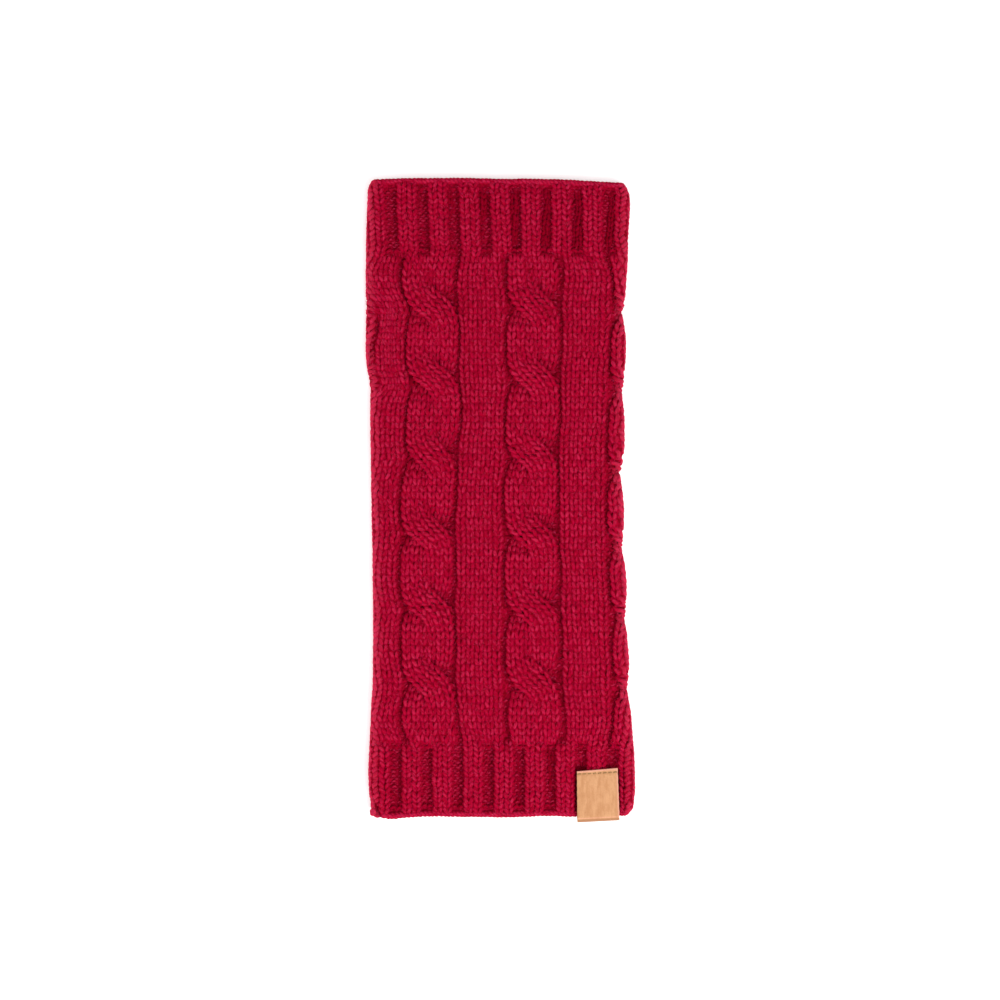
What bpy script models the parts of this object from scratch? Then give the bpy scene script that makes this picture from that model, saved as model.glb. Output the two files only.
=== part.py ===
"""Cable-knit arm warmer, lying flat, with a leather label folded over its lower hem.

X runs across the arm, Y along it towards the upper cuff, and Z up from the surface that it lies on.
The knitted tube is pressed flat: its back layer lies on the surface, its front layer on the back one,
and a narrow slit between them is the way through for the arm. It is three lengths of one knitted
panel: a ribbed cuff at each end and the cabled arm between them. Sizes are in metres.
"""

import math

import bmesh
import bpy

MM = 0.001

# The knitted wall and the slit between its two layers
WALL = 2.6 * MM  # plain fabric, two yarns deep
SEAM_GAP = 0.3 * MM  # between neighbouring pieces
FOLD_STEPS = 6  # facets round each side fold

# Lengths along Y
TOP_HEM = 129.1 * MM
TOP_RIB_END = 97.7 * MM  # where the upper cuff's ribs stop
BOTTOM_RIB_END = -96.1 * MM
BOTTOM_HEM = -126.7 * MM
TOP_SLOPE = 0.026  # the upper hem falls away to the right of this point
TOP_SLOPE_FROM = -28.8 * MM
BOTTOM_SLOPE = 0.05  # the lower hem rises to the right of this point
BOTTOM_SLOPE_FROM = 28.0 * MM

# Outline of the flat tube, and the height of the slit inside it, in millimetres
OUTLINE = (
    # y, left, right, slit
    (129.1, -51.4, 50.2, 1.0),
    (126.9, -52.8, 51.7, 1.0),
    (118.0, -53.1, 51.9, 1.0),
    (98.0, -53.4, 50.8, 1.0),
    (74.0, -53.8, 49.0, 1.0),
    (52.0, -53.5, 48.9, 1.0),
    (45.0, -51.8, 48.7, 1.0),
    (10.0, -51.6, 48.2, 1.0),
    (-20.0, -51.6, 48.7, 1.0),
    (-48.0, -51.6, 49.8, 1.3),
    (-76.0, -51.8, 51.1, 1.7),
    (-96.0, -52.2, 53.2, 2.0),
    (-107.0, -52.6, 53.8, 2.0),
    (-120.0, -52.1, 53.3, 2.0),
    (-124.7, -51.8, 52.6, 2.0),
    (-126.7, -50.4, 51.2, 2.0),
)
Y, LEFT, RIGHT, SLIT = range(4)

# Rib cuffs: two knit columns stand up, two purl columns sink between them
RIB_SINK = 1.1 * MM
RIB_FLOOR = 3.2 * MM  # flat floor of a sunken pair
RIB_SLOPE = 1.5 * MM  # run of its side
RIBS = 8
TOP_RIB_FIRST, TOP_RIB_PITCH = -44.0 * MM, 12.46 * MM
BOTTOM_RIB_FIRST, BOTTOM_RIB_PITCH = -41.6 * MM, 12.30 * MM

# Cables: two strands of three columns cross every 30 mm, between sunken purl columns
CABLE_RISE = 2.0 * MM
LOBE_RISE_SHARE = 0.8  # height between crossings, as a share of that at a crossing
CABLE_WAIST = 9.0 * MM  # half width at a crossing
CABLE_LOBE = 12.0 * MM  # half width between crossings
GROOVE_SINK = 1.2 * MM
GROOVE_HALF = 1.5 * MM
FOLD_LOBE = 1.6 * MM  # how far the third cable's lobes stand out of the right fold
FOLD_FADE = 28.0 * MM  # over this length from a cuff they grow to full size
ROW_STEP = 6.0 * MM
# Lines that the cables follow, in millimetres
CABLE_LINES = (
    # y, left cable, middle cable, third cable's groove
    (97.7, -29.2, 13.1, 43.4),
    (0.0, -28.0, 13.0, 42.8),
    (-60.0, -27.9, 13.4, 43.8),
    (-96.1, -27.6, 14.4, 45.4),
)
LEFT_CABLE, MIDDLE_CABLE, FOLD_GROOVE = 1, 2, 3
# Heights of the crossings, in millimetres, with one beyond each end of the arm
CROSSINGS = (
    # left cable, middle cable, third cable
    (105.0, 105.0, 104.0),
    (75.2, 74.8, 73.6),
    (46.4, 46.0, 43.2),
    (16.0, 15.6, 9.6),
    (-15.2, -15.6, -20.0),
    (-44.4, -44.8, -48.0),
    (-74.4, -74.8, -76.4),
    (-104.4, -104.8, -106.4),
)
# Section across half a cable: half widths from its middle, a distance past them, and its height
CABLE_SECTION = (
    # half widths, past them, share of the rise
    (0.0, 0.0, 1.0),
    (0.5, 0.0, 0.92),
    (1.0, -1.2 * MM, 0.45),
)

# Label: one strip of leather folded over the front layer's lower hem
LABEL_THICK = 1.2 * MM
LABEL_LEFT = 30.8 * MM
LABEL_RIGHT_TOP = 46.9 * MM
LABEL_RIGHT_BOTTOM = 47.7 * MM
LABEL_TOP = -107.8 * MM  # front leaf's upper edge, at its left corner
LABEL_TOP_SLOPE = 0.07
LABEL_BACK_END = -110.0 * MM  # the hidden leaf's end, inside the slit
LABEL_BOTTOM = -129.24 * MM  # lowest point of its bend, before the hem's rise
BEND_STEPS = 8


def at(table, column, y):
    """A column of a table whose first column is y, in millimetres, read at y in metres."""
    rows = sorted(table)
    here = min(max(y / MM, rows[0][0]), rows[-1][0])
    for low, high in zip(rows, rows[1:]):
        if here <= high[0]:
            share = (here - low[0]) / (high[0] - low[0])
            return (low[column] + share * (high[column] - low[column])) * MM
    return rows[-1][column] * MM


def lobe(y, cable):
    """0 where a cable's strands cross and 1 halfway to the next crossing."""
    heights = [row[cable - 1] for row in CROSSINGS]
    for high, low in zip(heights, heights[1:]):
        if low <= y / MM <= high:
            return math.sin(math.pi * (high - y / MM) / (high - low))
    return 0.0


def hem_shift(x, y):
    """How far a point moves along Y, because the hems aren't quite square to the sides."""
    top = max(0.0, (y - TOP_RIB_END) / (TOP_HEM - TOP_RIB_END))
    bottom = max(0.0, (BOTTOM_RIB_END - y) / (BOTTOM_RIB_END - BOTTOM_HEM))
    drop = TOP_SLOPE * max(0.0, x - TOP_SLOPE_FROM) * top
    rise = BOTTOM_SLOPE * max(0.0, x - BOTTOM_SLOPE_FROM) * bottom
    return rise - drop


def rib_front(first, pitch):
    """Section of a cuff's front layer: places across it and heights over the plain fabric."""
    points = []
    for rib in range(RIBS):
        middle = first + rib * pitch
        edge = RIB_FLOOR / 2 + RIB_SLOPE
        points += [
            (middle - edge, 0.0),
            (middle - RIB_FLOOR / 2, -RIB_SINK),
            (middle + RIB_FLOOR / 2, -RIB_SINK),
            (middle + edge, 0.0),
        ]
    return points


def cable_front(y):
    """Section of the arm's front layer: two whole cables, and the third one's groove."""
    points = []
    for cable in (LEFT_CABLE, MIDDLE_CABLE):
        middle = at(CABLE_LINES, cable, y)
        full = lobe(y, cable)
        half = CABLE_WAIST + (CABLE_LOBE - CABLE_WAIST) * full
        rise = CABLE_RISE * (1 - (1 - LOBE_RISE_SHARE) * full)
        side = [(half * share + past, rise * height) for share, past, height in CABLE_SECTION]
        side += [(half + GROOVE_HALF / 2, -GROOVE_SINK), (half + 2 * GROOVE_HALF, 0.0)]
        points += [(middle - place, height) for place, height in reversed(side[1:])]
        points += [(middle + place, height) for place, height in side]
    groove = at(CABLE_LINES, FOLD_GROOVE, y)
    points += [(groove - GROOVE_HALF, 0.0), (groove, -GROOVE_SINK)]
    return points


def ring(y, front, fold_out, fold_rise):
    """Outer and inner loops of the flat tube at y, going over the front and back under it."""
    slit = at(OUTLINE, SLIT, y)
    height = 2 * WALL + slit
    radius = height / 2
    left = at(OUTLINE, LEFT, y) + radius
    right = at(OUTLINE, RIGHT, y) + fold_out - radius
    back = [x for x, _ in front[2::4]]
    outer, inner = [], []
    for step in range(FOLD_STEPS + 1):
        turn = math.pi * step / FOLD_STEPS
        outer.append((left - radius * math.sin(turn), radius - radius * math.cos(turn)))
        inner.append((left - slit / 2 * math.sin(turn), radius - slit / 2 * math.cos(turn)))
    for x, rise in front:
        outer.append((x, height + rise))
        inner.append((x, WALL + slit))
    for step in range(FOLD_STEPS + 1):
        turn = math.pi * step / FOLD_STEPS
        up = radius + (fold_rise if step < FOLD_STEPS / 2 else 0.0)
        outer.append((right + radius * math.sin(turn), radius + up * math.cos(turn)))
        inner.append((right + slit / 2 * math.sin(turn), radius + slit / 2 * math.cos(turn)))
    for x in reversed(back):
        outer.append((x, 0.0))
        inner.append((x, WALL))
    return outer, inner


def tube(name, sections, material):
    """A flat knitted tube through its sections, from (y, outer loop, inner loop) rows."""
    bm = bmesh.new()
    rows = []
    for y, outer, inner in sections:
        rows.append([
            [bm.verts.new((x, y + hem_shift(x, y), z)) for x, z in loop] for loop in (outer, inner)
        ])
    for one, two in zip(rows, rows[1:]):
        for skin in range(2):
            close(bm, one[skin], two[skin])
    for end in (rows[0], rows[-1]):
        close(bm, end[0], end[1])
    return finished(bm, name, material)


def close(bm, one, two):
    """A band of faces between two loops that have the same number of points."""
    count = len(one)
    for i in range(count):
        j = (i + 1) % count
        bm.faces.new((one[i], one[j], two[j], two[i]))


def finished(bm, name, material):
    bmesh.ops.recalc_face_normals(bm, faces=bm.faces)
    mesh = bpy.data.meshes.new(name)
    bm.to_mesh(mesh)
    bm.free()
    mesh.shade_smooth()
    mesh.set_sharp_from_angle(angle=math.radians(40))
    mesh.materials.append(material)
    piece = bpy.data.objects.new(name, mesh)
    bpy.context.collection.objects.link(piece)
    return piece


def between(low, high, step):
    """Even steps from low to high, both included, none longer than step."""
    count = math.ceil((high - low) / step)
    return [low + (high - low) * i / count for i in range(count + 1)]


def cuff(name, low, high, first, pitch, material):
    """A ribbed cuff between two heights, with a section at each row of the outline inside it."""
    inside = [row[Y] * MM for row in OUTLINE if low < row[Y] * MM < high]
    front = rib_front(first, pitch)
    sections = [(y, *ring(y, front, 0.0, 0.0)) for y in sorted({low, high, *inside})]
    return tube(name, sections, material)


def arm(material):
    """The cabled length between the cuffs."""
    sections = []
    for y in between(BOTTOM_RIB_END + SEAM_GAP / 2, TOP_RIB_END - SEAM_GAP / 2, ROW_STEP):
        ease = min(1.0, (TOP_RIB_END - y) / FOLD_FADE, (y - BOTTOM_RIB_END) / FOLD_FADE)
        out = lobe(y, FOLD_GROOVE) * ease
        rise = CABLE_RISE * CABLE_SECTION[-1][2] * out
        sections.append((y, *ring(y, cable_front(y), FOLD_LOBE * out, rise)))
    return tube("arm_tube", sections, material)


def label(material):
    """The folded leather strip: a front leaf, a bend round the hem and a leaf inside the slit."""
    slit = at(OUTLINE, SLIT, BOTTOM_HEM)
    low, high = WALL + slit - SEAM_GAP, 2 * WALL + slit + SEAM_GAP
    bend = (high - low) / 2
    middle, start = (low + high) / 2, LABEL_BOTTOM + bend + LABEL_THICK
    profile = [(LABEL_TOP, high + LABEL_THICK)]
    for radius, steps in ((bend + LABEL_THICK, range(BEND_STEPS + 1)), (bend, None)):
        if steps is None:
            profile += [(LABEL_BACK_END, low - LABEL_THICK), (LABEL_BACK_END, low)]
            steps = range(BEND_STEPS, -1, -1)
        for step in steps:
            turn = math.pi * step / BEND_STEPS
            profile.append((start - radius * math.sin(turn), middle + radius * math.cos(turn)))
    profile.append((LABEL_TOP, high))
    bm = bmesh.new()
    ends = []
    for side in (0.0, 1.0):
        loop = []
        for y, z in profile:
            down = (LABEL_TOP - y) / (LABEL_TOP - LABEL_BOTTOM)
            right = LABEL_RIGHT_TOP + (LABEL_RIGHT_BOTTOM - LABEL_RIGHT_TOP) * down
            x = LABEL_LEFT + (right - LABEL_LEFT) * side
            slope = LABEL_TOP_SLOPE if y > LABEL_BACK_END else BOTTOM_SLOPE
            loop.append(bm.verts.new((x, y + slope * (x - LABEL_LEFT) + hem_lift(), z)))
        ends.append(loop)
    close(bm, *ends)
    for loop in ends:
        bm.faces.new(loop)
    return finished(bm, "label", material)


def hem_lift():
    """How far the hem has already risen at the label's left side."""
    return BOTTOM_SLOPE * (LABEL_LEFT - BOTTOM_SLOPE_FROM)


def surface(name, colour, roughness):
    material = bpy.data.materials.new(name)
    material.use_nodes = True
    shader = material.node_tree.nodes["Principled BSDF"]
    shader.inputs["Base Color"].default_value = (*colour, 1.0)
    shader.inputs["Roughness"].default_value = roughness
    shader.inputs["Metallic"].default_value = 0.0
    return material


def main():
    for old in list(bpy.data.objects):
        bpy.data.objects.remove(old, do_unlink=True)
    rib_knit = surface("rib_knit", (0.37, 0.003, 0.026), 0.9)
    cable_knit = surface("cable_knit", (0.40, 0.003, 0.028), 0.9)
    leather = surface("label_leather", (0.78, 0.41, 0.20), 0.55)
    cuff(
        "cuff_top", TOP_RIB_END + SEAM_GAP / 2, TOP_HEM, TOP_RIB_FIRST, TOP_RIB_PITCH, rib_knit
    )
    arm(cable_knit)
    cuff(
        "cuff_bottom",
        BOTTOM_HEM,
        BOTTOM_RIB_END - SEAM_GAP / 2,
        BOTTOM_RIB_FIRST,
        BOTTOM_RIB_PITCH,
        rib_knit,
    )
    label(leather)


main()
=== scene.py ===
"""A cable-knit arm warmer lying flat, stitch by stitch, with its leather label.

The fabric is worked out in its own coordinates, in millimetres: s runs round the tube from the left
fold over the front layer, y runs up the arm, and h stands out of the fabric. round_tube() lays these
on the flattened tube. Every row of stitches is one closed yarn.
"""

import math
from types import SimpleNamespace

import bmesh
import bpy
import numpy as np
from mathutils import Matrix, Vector


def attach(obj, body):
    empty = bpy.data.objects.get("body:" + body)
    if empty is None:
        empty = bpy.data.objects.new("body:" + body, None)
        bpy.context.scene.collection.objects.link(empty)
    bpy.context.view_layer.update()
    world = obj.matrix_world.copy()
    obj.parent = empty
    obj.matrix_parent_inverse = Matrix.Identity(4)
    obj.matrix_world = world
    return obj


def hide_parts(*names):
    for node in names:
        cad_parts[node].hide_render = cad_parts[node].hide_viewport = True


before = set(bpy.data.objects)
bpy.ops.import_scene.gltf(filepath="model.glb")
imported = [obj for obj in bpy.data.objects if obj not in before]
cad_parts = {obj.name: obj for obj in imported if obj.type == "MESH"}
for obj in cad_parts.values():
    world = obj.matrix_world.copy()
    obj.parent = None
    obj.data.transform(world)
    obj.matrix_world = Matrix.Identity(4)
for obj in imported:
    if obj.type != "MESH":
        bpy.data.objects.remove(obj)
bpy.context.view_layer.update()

MM = 0.001
RNG = np.random.default_rng(7)

# ---- sizes, in millimetres
WALL = 2.6  # plain fabric
TOP_HEM, TOP_RIB_END = 129.1, 97.7
BOTTOM_RIB_END, BOTTOM_HEM = -96.1, -126.7
RIB_ROWS, ARM_ROWS = 14, 76
COLUMNS = 64
HEM_ROW = 1.8  # from a hem to the first row of stitches
PAST_HEM = 1.2  # of a cuff's length: as far as its hem's unevenness grows

# One stitch of the yarn
YARN = 0.90  # radius
LEG_SWELL = (0.80, 0.26)  # thickness at a loop's head, and what a leg has more
LOOP_STEPS = 10  # points along a stitch
LOOP_DEPTH = 0.56  # how far legs and heads stand from the fabric's middle
LOOP_REACH = 0.78  # half a loop's height, in rows
LOOP_LEAN, CABLE_LEAN, RIB_LOOP_LEAN = 0.19, 0.22, 0.23  # how far a leg leans, in columns
STITCH_SHIFT = (0.16, 0.16, 0.18)  # how far stitches stray round, along and out
TILT_SHARE, TILT_LIMIT = 0.8, 0.9  # of a stitch between its neighbours' heights
FACTS = 9  # numbers kept for each point of knitted yarn
YARN_SIDES, THREAD_SIDES = 6, 8
YARN_TWIST, THREAD_TWIST = 0.85, 5.0  # of the plies, in radians a mm
PATTERN_SHIFT = 37.0  # of the fibres' pattern from one row to the next
BAKE_MAP = "OFBake"  # the name of the map made for baking
STRIP_ENDS, STRIP_SIDES = 0.004, 0.06  # shares of its strips left free

# The two yarns that turn round each other along a hem
HEM_INSET = 1.25  # from the hem to their middle
ROPE_REACH = (0.50, 0.55)  # how far they turn, along the arm and out
ROPE_STEPS = 8  # points for each column
ROPE_LOOK = (0.6, 0.7)  # the fabric's height and the tone, as the colours read them

# Measured in the photo
OUTLINE = (
    # y, left, right, slit
    (129.1, -52.5, 50.6, 1),
    (125.6, -52.8, 50.8, 1),
    (122.4, -53, 51.6, 1),
    (119.2, -53.2, 51.8, 1),
    (112.8, -53.4, 51.4, 1),
    (106.4, -53.6, 51.1, 1),
    (96.8, -53.7, 50.8, 1),
    (90.4, -53.8, 50.5, 1),
    (84, -53.8, 50, 1),
    (77.6, -53.8, 49.5, 1),
    (74.4, -53.6, 48.7, 1),
    (71.2, -53.7, 49.3, 1),
    (64.8, -53.9, 50.1, 1),
    (58.4, -53.8, 50, 1),
    (52, -53.2, 49.7, 1),
    (48.8, -52.7, 49.4, 1),
    (45.6, -52.1, 49.1, 1),
    (42.4, -52, 48.5, 1),
    (36, -52, 49.3, 1),
    (26.4, -51.9, 49.7, 1),
    (20, -51.8, 49.4, 1),
    (13.6, -51.7, 48.5, 1),
    (10.4, -51.7, 47.8, 1),
    (4, -51.6, 48.7, 1),
    (-2.4, -51.5, 49.3, 1),
    (-8.8, -51.4, 49.4, 1),
    (-15.2, -51.2, 48.9, 1),
    (-20, -51.1, 48.5, 1),
    (-24.8, -51.1, 49.4, 1.1),
    (-28, -51, 50, 1.1),
    (-34.4, -51, 50.5, 1.2),
    (-44, -50.8, 50.1, 1.3),
    (-47.6, -50.8, 49.5, 1.3),
    (-53.6, -50.8, 50.5, 1.4),
    (-63.2, -50.9, 51.4, 1.5),
    (-69.6, -50.9, 51.3, 1.6),
    (-76, -51.2, 50.5, 1.7),
    (-85.6, -51.7, 52.2, 1.8),
    (-92, -52, 52.5, 1.9),
    (-98.4, -52.3, 53.2, 2),
    (-108, -52.7, 53.6, 2),
    (-116, -52.5, 53.7, 2),
    (-120.8, -51.9, 53.3, 2),
    (-124, -51.6, 52.7, 2),
    (-126.7, -51, 51.9, 2),
)

HEMS = (
    # x, the top hem's fall from its highest place, and the lower hem's rise from its own
    (-53, 0.6, 0.1),
    (-46, 0.35, -0.5),
    (-41, 0.15, -0.5),
    (-36, 0, 0),
    (-30, 0, 0.3),
    (-24, 0, 0.35),
    (-16, -0.1, 0.1),
    (-8, 0.1, 0.1),
    (2, 0.4, -0.1),
    (11, 0.2, 0.2),
    (16, 0.4, 0.5),
    (22, 0.45, 0.5),
    (28, 0.7, 0.2),
    (34, 1.1, 0.1),
    (40, 1.5, 0.3),
    (50, 2, 0.5),
)

# Sunken purl columns that bound the cables on the front layer
GROOVES = (
    # y, left cable's two, middle cable's two, third cable's first
    (96.8, -42, -17.6, 0.8, 25.2, 44.8),
    (88.8, -40.8, -17.6, 1.6, 25, 45),
    (84, -39.6, -18, 2.4, 24.2, 45),
    (79.2, -37.2, -18, 2.8, 23.6, 44.6),
    (75.2, -36.8, -17.8, 2.8, 23.6, 44.4),
    (71.2, -37.6, -17, 2, 24.2, 44.2),
    (66.4, -38, -16.8, 1.6, 24.4, 43.8),
    (58.4, -38, -16.8, 1.9, 24.4, 43.6),
    (54.4, -37.7, -17.1, 2.4, 23.6, 43.6),
    (51.2, -37, -17.2, 3.1, 23.2, 43.6),
    (47.2, -35.6, -17.2, 3.2, 23.2, 43.6),
    (44, -36, -16.8, 2.8, 23.4, 43.4),
    (40, -37.3, -16, 1.9, 23.7, 42.8),
    (36, -38.2, -15.6, 1.6, 24, 42.5),
    (28.8, -38.4, -15.9, 1.6, 23.8, 42.4),
    (24, -38.4, -17, 1.8, 23, 42.4),
    (20, -38.1, -17.8, 2.4, 22.4, 42.4),
    (15.2, -38, -18, 2.4, 22.6, 42.4),
    (12, -39.6, -17.7, 1.8, 22.8, 42.4),
    (8, -40.6, -17.6, 1, 23.2, 42.1),
    (-3.2, -40.8, -17.8, 0.5, 23.2, 42.1),
    (-8.8, -40.2, -19, 1.4, 23, 42.6),
    (-13.6, -39.8, -19.1, 2, 22.8, 42.8),
    (-18.4, -40.4, -18.6, 1.6, 23, 42.6),
    (-24, -41.1, -18.1, 0.9, 23.8, 42.4),
    (-33.6, -41.2, -18, 0.8, 24, 43.2),
    (-39.2, -40.2, -19, 1.2, 23.6, 43.8),
    (-44, -39.2, -19.2, 1.7, 23.3, 43.8),
    (-49.6, -39.8, -18.6, 1.4, 24.2, 43.7),
    (-56, -40.7, -18.1, 0.8, 24.4, 43.7),
    (-61.6, -40.2, -18.1, 0.5, 24.4, 44.4),
    (-67.2, -39.5, -18.6, 1.1, 24.2, 44.8),
    (-72.8, -38.8, -18.8, 1.7, 24, 44.6),
    (-78.4, -39.4, -17.9, 1.5, 24.5, 44.6),
    (-84, -40.6, -17.3, 1.2, 25.4, 44.8),
    (-95.2, -41.2, -17.2, 1.4, 26, 44.8),
)
CABLE_WIDTH, PANEL_WIDTH = 22.2, 18.8  # groove to groove, on the hidden side
LEFT_PANEL_WIDTH = 14.8  # the panel that the side seam narrows

CROSSINGS = (
    # left cable, middle cable, third cable
    (111, 111, 110.4),
    (78.4, 78.6, 77.8),
    (49.2, 49.8, 47.6),
    (18.6, 19, 14.2),
    (-12.2, -12.6, -15.4),
    (-41.6, -42.6, -43.4),
    (-71.2, -72, -71.8),
    (-104.6, -105, -105),
)
# Zones of the arm, going round: kind, first column, columns, crossings used
ZONES = (
    ("cable", 1, 6, 0),
    ("panel", 8, 5, None),
    ("cable", 14, 6, 1),
    ("panel", 21, 5, None),
    ("cable", 27, 6, 2),
    ("panel", 34, 5, None),
    ("cable", 40, 6, 1),
    ("panel", 47, 5, None),
    ("cable", 53, 6, 2),
    ("panel", 60, 4, None),
)
STRAND_COLUMN = 3.42  # a knit column's width in a cable
OVER_WIDER = 0.2  # share by which the strand in front spreads at a crossing
PANEL_COLUMN = 3.48
STRAND_OFFSET = 1.5 * STRAND_COLUMN  # a strand's middle from the cable's
CROSS_SHARP = 1.9
CROSS_SPACING, CROSS_STEPS = 29.8, 400  # between crossings, and points there
CROSS_NEAR = 3  # how soon a strand leaves its height between crossings
STRAND_MID, OVER_RISE, UNDER_DIP = 1.0, 1.2, 2.3  # height between crossings, and its changes
STRAND_DOME = 0.5
STITCH_TURN = 0.5  # share of a strand's slant that its courses take
GROOVE_WIDTH, GROOVE_GAP = 1.0, (1.2, 3.5)  # a purl column's least; closed and open
GROOVE_RELIEF = (-1.2, -1.9)  # of a purl column, closed and open
FOLD_GROOVE, FOLD_RELIEF = 59, (-2.1, 0.2)  # the one that comes round the left fold
PANEL_RELIEF = (0.0, 0.12, 0.18)  # from a panel's edge to its middle
CABLE_RELIEF = 0.15

# The matted wool among the yarns
BACKING_RISE = 0.6  # from the stitches' middle out
BACKING_HEM = -0.2  # its height at the hems
BACKING_FURTHER = 0.35  # past a yarn's middle, at the folds
WELD = 0.001  # points nearer than this are one

# The hidden layer
UNDERSIDE, UNDERSIDE_SOFT = 0.95, 0.15  # lowest middle of a yarn, and how softly it stops
PRESSED_FROM, PRESSED_SHARE = 0.3, 0.72  # relief past this is flattened by this share
PRESSED_ENDS = (-2.0, 3.0)  # from the flat back's ends in: where it starts, is complete
PRESSED_TURN = 0.4  # radians before a fold's end where it is complete
BACK_LIFT = 0.6
BACK_PEEK = (-51.5, -49.0, -41.6, -40.2)  # x over which its hem hangs lower
BACK_PEEK_DROP = 0.7

# The left fold
FOLD_SLIP = (
    # y, how far the fabric has slipped forward round the left fold
    (92, 0),
    (84, 1),
    (77, 3),
    (72, 3.4),
    (64, 2.9),
    (55, 2.9),
    (47, 2.6),
    (41, 0),
)
SLIP_FRONT, SLIP_BACK = (2.0, 13.0), (-42.0, -16.0)  # s over which the slip dies away

# The ribs: two knit and two purl columns
RIB_OFFSETS = (-8.15, -4.3, -1.25, 1.25)  # from the trough's middle
RIB_WIDTHS = (3.85, 3.85, 2.5, 2.5)
RIB_STEPS = (3.85, 3.05, 2.5, 3.05)  # from each of the four columns to the next
RIB_RELIEF = (0.65, 0.65, -1.75, -1.75)
RIB_TOP = (-31.7, 12.46)  # middle of trough 0, and the pitch
RIB_BOTTOM = (-29.3, 12.30)
RIB_LEAN = 0.045  # how far the top cuff's left ribs lean
RIB_LEAN_ENDS = (-5.0, 22.0)  # x over which the lean dies away
RIB_BLEND = (4.0, 9.0)  # within a cuff's end and past it: where columns wander
RELIEF_STEP = (4.5, 1.5)  # the same for their heights
HEM_RELIEF, HEM_FADE = 0.25, (1.0, 6.5)  # share of relief at a hem, and where it grows
FIRST_LEFT_RIB = 60  # from here on, columns lie left of the front's first
HIDDEN_RIBS = (27, 60)  # they share out the hidden layer evenly
FIRST_COLUMN = 46  # where each row's yarn starts, on the hidden side

# The outline
CORNER, SEAM_CORNER = 3.8, 2.4  # radius of a hem's corners, and of the seam's
EDGE_REACH = 1.5  # points this near in y are measured together
EDGE_OVER = 0.9  # how far past the outline they are moved before it holds them
EDGE_SOFT = 0.12
EDGE_INSET = 0.62  # from the outline to the middle of a yarn held there
EDGE_PULL = (-10.0, -0.5)  # from the outermost yarn: where the move starts, is complete
FOLD_X, CORNER_X = 30.0, 50.0  # a fold's yarns lie past the first; corners are read at the second
RIM_LIGHT_WIDTH = 4.2  # of the paler strip of painted rim light along the folds

# The pinched end of the left seam, at the lower hem
PINCH_TOP, PINCH_END = (-49.5, -118.6), (-47.6, -127.2)
PINCH_DEPTH, PINCH_WIDTH = 3.8, 1.15
PINCH_STARTS = (-122.0, -117.5)  # y over which it deepens
SEAM_END = (-51.0, -124.7, 5.8)
SEAM_RING, SEAM_RING_POINTS = (0.45, 0.75, 0.4), 12  # the knot: half its width, height and depth

# Loose fibres
FUZZ_COUNT, FUZZ_LONG, FUZZ_THICK = 14000, (0.7, 2.0), 0.040  # their number, length and radius
FUZZ_ROOT = 0.75  # where they leave the yarn, in its radii
FUZZ_RISE, FUZZ_END_RISE, FUZZ_BEND = 0.42, 0.05, 0.9  # how they rise, end and bend over
FUZZ_LOWEST = -0.35  # what faces further down has none
FUZZ_SUNK = (-1.2, 0.05)  # fabric that lies lower has fewer
FUZZ_RIM = (-2.6, 7.0)  # so near the outline there are so many times more

# The label
LEATHER = 1.2
LEAF_TOP = ((30.5, -108.12), (46.75, -106.8))  # left and right end of the front leaf's top
LEAF_BOTTOM = ((30.7, -128.8), (47.55, -127.95))
LEAF_Z, BACK_Z = 8.1, 3.95  # middles of the two leaves
BEND_Z, BEND = (LEAF_Z + BACK_Z) / 2, (LEAF_Z - BACK_Z) / 2  # the bend's middle and radius
LEAF_TALL, INNER_LEAF_TOP = 20.9, 2.2  # the front leaf's height, and where the inner one ends
LEAF_CELLS, LEAF_ROWS, BEND_ROWS, INNER_ROWS = 44, 45, 14, 13  # its mesh across, and down each part
LABEL_BEVEL, SHARP = 0.14, 1.0  # the second in radians: a sharp edge
LEAF_WANDER, LEAF_WARP = (0.06, 1.9, 0.12), (0.10, 1.3, 0.4)  # of its sides, and of its face
SIDE_DROP, TOP_DROP = (0.12, 0.10), (0.10, 0.7)  # how far its edges bend down, and over what
STITCH_DROP = (1.15, 1.60)  # from the top edge to the row of stitches, left and right
STITCHES, STITCH_RADIUS, STITCH_POINTS = 8, 0.30, 13
STITCH_START, STITCH_SHOWS = 0.20, 0.58  # of the stitches' spacing
STITCH_GROOVE, STITCH_GROOVE_WIDTH = 0.30, 0.42  # pressed into the leather by the row
STITCH_SUNK, STITCH_RISE, STITCH_STEEP, STITCH_LEAN = 0.50, 0.40, 2.6, 0.10  # a stitch's arch
PRESS_LEFT, PRESS_RIGHT = (27.5, 31.0), (47.5, 50.5)  # x over which the label presses the fabric
PRESS_TOP, PRESS_DEPTH = (-108.0, -105.5), 0.85


# ---- reading the tables
GRID_STEP, GRID_SMOOTH = 0.5, 20  # in mm, and the steps over which a table is smoothed
SMOOTH, STEADY, SLIP_SMOOTH = 1.2, 14.0, 1.0  # how much, in mm
GRID = np.arange(-140.0, 140.5, GRID_STEP)


def reader(table, column, soft):
    """A table's column as a smooth function of its first."""
    rows = np.array(sorted(table))
    values = np.interp(GRID, rows[:, 0], rows[:, column])
    reach = np.arange(-GRID_SMOOTH, GRID_SMOOTH + 1)
    kernel = np.exp(-0.5 * (reach * GRID_STEP / soft) ** 2)
    padded = np.pad(values, GRID_SMOOTH, mode="edge")
    smooth = np.convolve(padded, kernel / kernel.sum(), mode="valid")
    return lambda y: np.interp(y, GRID, smooth)


left_edge, right_edge, slit_of = (reader(OUTLINE, c, SMOOTH) for c in range(1, 4))
slip_at = reader(FOLD_SLIP, 1, SLIP_SMOOTH)
hem_drop, hem_rise = (reader(HEMS, c, SMOOTH) for c in (1, 2))
groove_x = [reader(GROOVES, c, SMOOTH) for c in range(1, 6)]
steady_x = [reader(GROOVES, c, STEADY) for c in range(1, 6)]


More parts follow.
